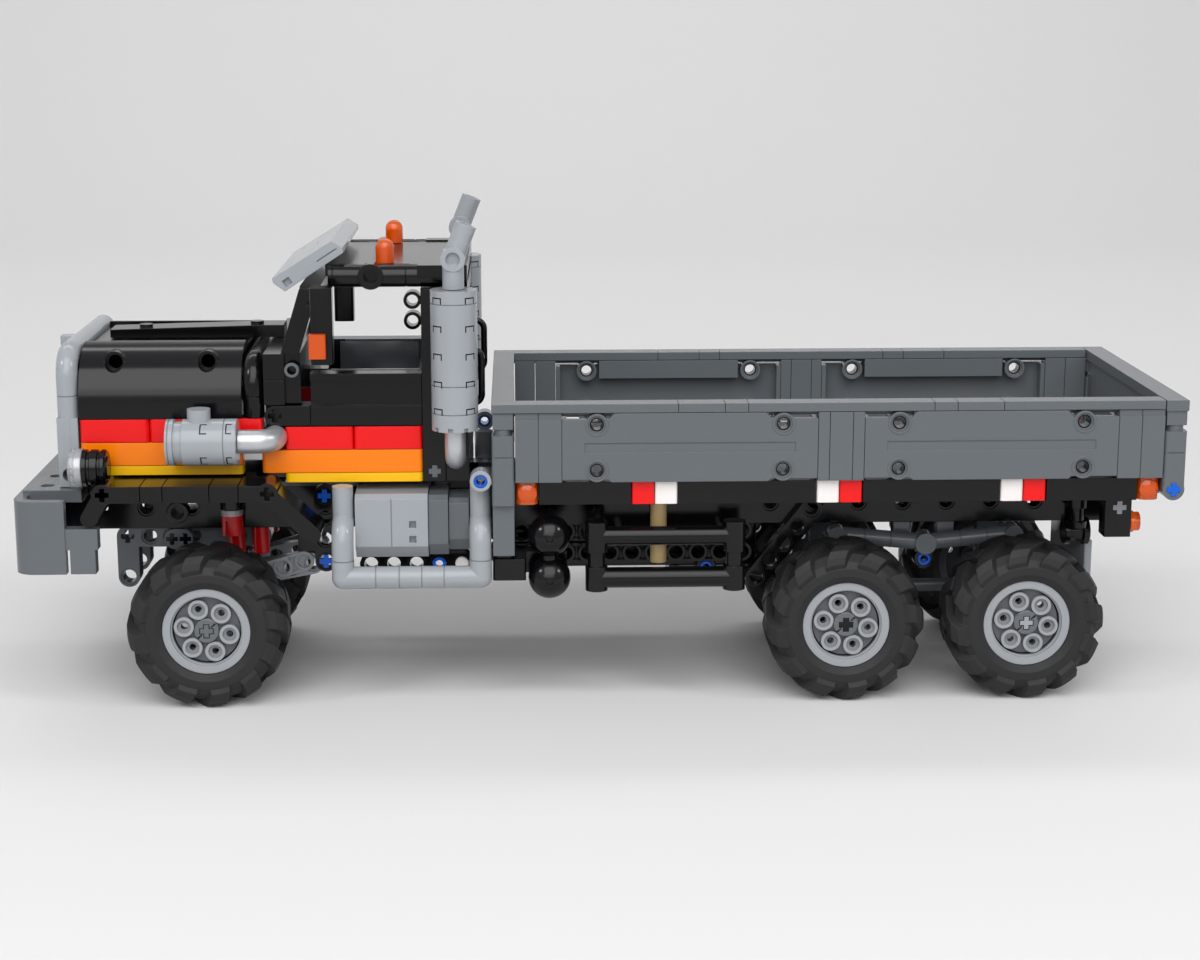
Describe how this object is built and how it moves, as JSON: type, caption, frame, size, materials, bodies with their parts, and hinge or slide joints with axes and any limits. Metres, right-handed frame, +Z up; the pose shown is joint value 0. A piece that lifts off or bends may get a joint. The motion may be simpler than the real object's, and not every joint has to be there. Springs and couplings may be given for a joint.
{
  "type": "brick-built toy off-road truck",
  "caption": "Brick-built toy off-road truck: steered front axle, tandem rear axles on a walking beam, bonneted cab with twin exhaust stacks, long dropside bed and a hinged tailgate.",
  "frame": {"origin": "on the ground, under the middle of the truck's bounding box", "axes": "+X towards the rear, so the front points to -X; +Y to the truck's right; +Z up"},
  "size_m": [0.404, 0.1206, 0.1706],
  "materials": {
    "black_plastic": "polished moulded plastic",
    "dark_grey_plastic": "satin moulded plastic",
    "light_grey_plastic": "satin moulded plastic",
    "red_plastic": "polished moulded plastic",
    "orange_plastic": "polished moulded plastic",
    "yellow_plastic": "polished moulded plastic",
    "amber_clear": "see-through moulded plastic",
    "clear_lens": "see-through moulded plastic",
    "white_plastic": "polished moulded plastic",
    "silver_plastic": "silver lacquer on plastic",
    "tan_plastic": "polished moulded plastic",
    "dark_red_plastic": "polished moulded plastic",
    "tyre_rubber": "matt rubber"
  },
  "bodies": {
    "chassis": {"frame_rails": "black_plastic", "cross_members": "black_plastic", "engine_block": "black_plastic", "front_axle": "dark_grey_plastic", "front_links": "light_grey_plastic", "shock_absorbers": "dark_red_plastic", "rear_axles": "dark_grey_plastic", "bogie_beams": "dark_grey_plastic", "bumper": "dark_grey_plastic", "grille_frame": "light_grey_plastic", "grille_slats": "black_plastic", "hood_panels": "black_plastic", "red_panels": "red_plastic", "orange_panels": "orange_plastic", "yellow_tiles": "yellow_plastic", "fenders": "black_plastic", "headlight_cases": "black_plastic", "headlight_lenses": "clear_lens", "air_filters": "light_grey_plastic", "silver_pipes": "silver_plastic", "cab_walls": "black_plastic", "cab_floor_seat": "dark_grey_plastic", "cab_pillars": "black_plastic", "cab_roof": "black_plastic", "sun_visor": "light_grey_plastic", "mirrors": "black_plastic", "amber_lamps": "amber_clear", "exhaust_mufflers": "light_grey_plastic", "exhaust_tips": "light_grey_plastic", "side_tanks": "light_grey_plastic", "tank_ends": "dark_grey_plastic", "tank_guards": "light_grey_plastic", "air_tanks": "black_plastic", "side_guards": "black_plastic", "under_bed_boxes": "black_plastic", "tan_posts": "tan_plastic", "bed_floor": "dark_grey_plastic", "bed_beams": "black_plastic", "red_markers": "red_plastic", "white_markers": "white_plastic", "bed_side_left": "dark_grey_plastic", "bed_side_right": "dark_grey_plastic", "bed_headboard": "dark_grey_plastic", "rear_lamp_blocks": "black_plastic"},
    "tailgate": {"tailgate": "dark_grey_plastic"},
    "steer_left": {"knuckle_left": "dark_grey_plastic"},
    "steer_right": {"knuckle_right": "dark_grey_plastic"},
    "track_rod": {"tie_rod": "black_plastic"},
    "wheel_front_left": {"rim_front_left": "light_grey_plastic", "tyre_front_left": "tyre_rubber"},
    "wheel_front_right": {"rim_front_right": "light_grey_plastic", "tyre_front_right": "tyre_rubber"},
    "wheel_mid_left": {"rim_mid_left": "light_grey_plastic", "tyre_mid_left": "tyre_rubber"},
    "wheel_mid_right": {"rim_mid_right": "light_grey_plastic", "tyre_mid_right": "tyre_rubber"},
    "wheel_rear_left": {"rim_rear_left": "light_grey_plastic", "tyre_rear_left": "tyre_rubber"},
    "wheel_rear_right": {"rim_rear_right": "light_grey_plastic", "tyre_rear_right": "tyre_rubber"}
  },
  "joints": [
    {"name": "tailgate_hinge", "type": "hinge", "parent": "chassis", "child": "tailgate", "pos_m": [0.198, 0, 0.0772], "axis": [0, 1, 0], "range_deg": [0, 180]},
    {"name": "steer_left", "type": "hinge", "parent": "chassis", "child": "steer_left", "pos_m": [-0.138, -0.024, 0.028], "axis": [0, 0, 1], "range_deg": [-25, 25]},
    {"name": "steer_right", "type": "hinge", "parent": "chassis", "child": "steer_right", "pos_m": [-0.138, 0.024, 0.028], "axis": [0, 0, 1], "range_deg": [-25, 25]},
    {"name": "track_rod_pivot", "type": "hinge", "parent": "steer_left", "child": "track_rod", "pos_m": [-0.122, -0.024, 0.0225], "axis": [0, 0, 1], "range_deg": [-25, 25]},
    {"name": "spin_front_left", "type": "hinge", "parent": "steer_left", "child": "wheel_front_left", "pos_m": [-0.138, -0.043, 0.028], "axis": [0, 1, 0], "continuous": true},
    {"name": "spin_front_right", "type": "hinge", "parent": "steer_right", "child": "wheel_front_right", "pos_m": [-0.138, 0.043, 0.028], "axis": [0, 1, 0], "continuous": true},
    {"name": "spin_mid_left", "type": "hinge", "parent": "chassis", "child": "wheel_mid_left", "pos_m": [0.086, -0.043, 0.028], "axis": [0, 1, 0], "continuous": true},
    {"name": "spin_mid_right", "type": "hinge", "parent": "chassis", "child": "wheel_mid_right", "pos_m": [0.086, 0.043, 0.028], "axis": [0, 1, 0], "continuous": true},
    {"name": "spin_rear_left", "type": "hinge", "parent": "chassis", "child": "wheel_rear_left", "pos_m": [0.15, -0.043, 0.028], "axis": [0, 1, 0], "continuous": true},
    {"name": "spin_rear_right", "type": "hinge", "parent": "chassis", "child": "wheel_rear_right", "pos_m": [0.15, 0.043, 0.028], "axis": [0, 1, 0], "continuous": true}
  ],
  "couplings": [
    {"joint": "steer_right", "follows": "steer_left", "ratio": 1},
    {"joint": "track_rod_pivot", "follows": "steer_left", "ratio": -1}
  ]
}
